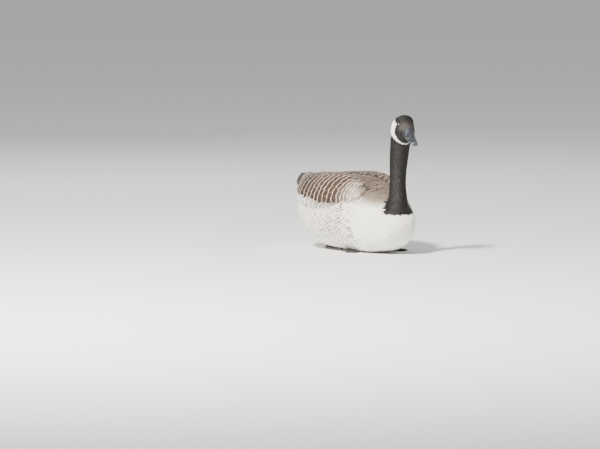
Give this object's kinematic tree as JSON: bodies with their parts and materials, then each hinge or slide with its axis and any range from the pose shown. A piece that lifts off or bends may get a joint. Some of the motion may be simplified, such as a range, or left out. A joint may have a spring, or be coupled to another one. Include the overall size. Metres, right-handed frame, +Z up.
{
  "type": "canada goose",
  "caption": "Life-size Canada goose at rest on its belly, neck upright, wings folded over the back and feet tucked under.",
  "frame": {"origin": "middle of the flat under the belly that the goose rests on", "axes": "+Z up; -Y towards the breast and bill, +Y towards the tail; +X on the goose's left"},
  "size_m": [0.2514, 0.645, 0.3706],
  "materials": {
    "body_plumage": "soft matt feathers, buff grey with pale edges, white below",
    "black_plumage": "short close feathers with a faint sheen",
    "head_plumage": "very short feathers, black with white cheeks",
    "wing_plumage": "brown feathers with pale buff edges",
    "tail_plumage": "stiff dark feathers with white coverts",
    "bill_horn": "smooth dark horn, half gloss",
    "eye": "wet dark brown eye",
    "leg_skin": "dark scaly skin, dull"
  },
  "bodies": {
    "root": {"torso": "body_plumage", "neck_lower": "black_plumage", "neck_upper": "black_plumage", "head": "head_plumage", "tail": "tail_plumage", "bill_upper": "bill_horn", "bill_lower": "bill_horn", "eye_left": "eye", "eye_right": "eye", "wing_left": "wing_plumage", "wing_right": "wing_plumage", "leg_left": "leg_skin", "leg_right": "leg_skin", "foot_left": "leg_skin", "foot_right": "leg_skin"}
  },
  "joints": []
}
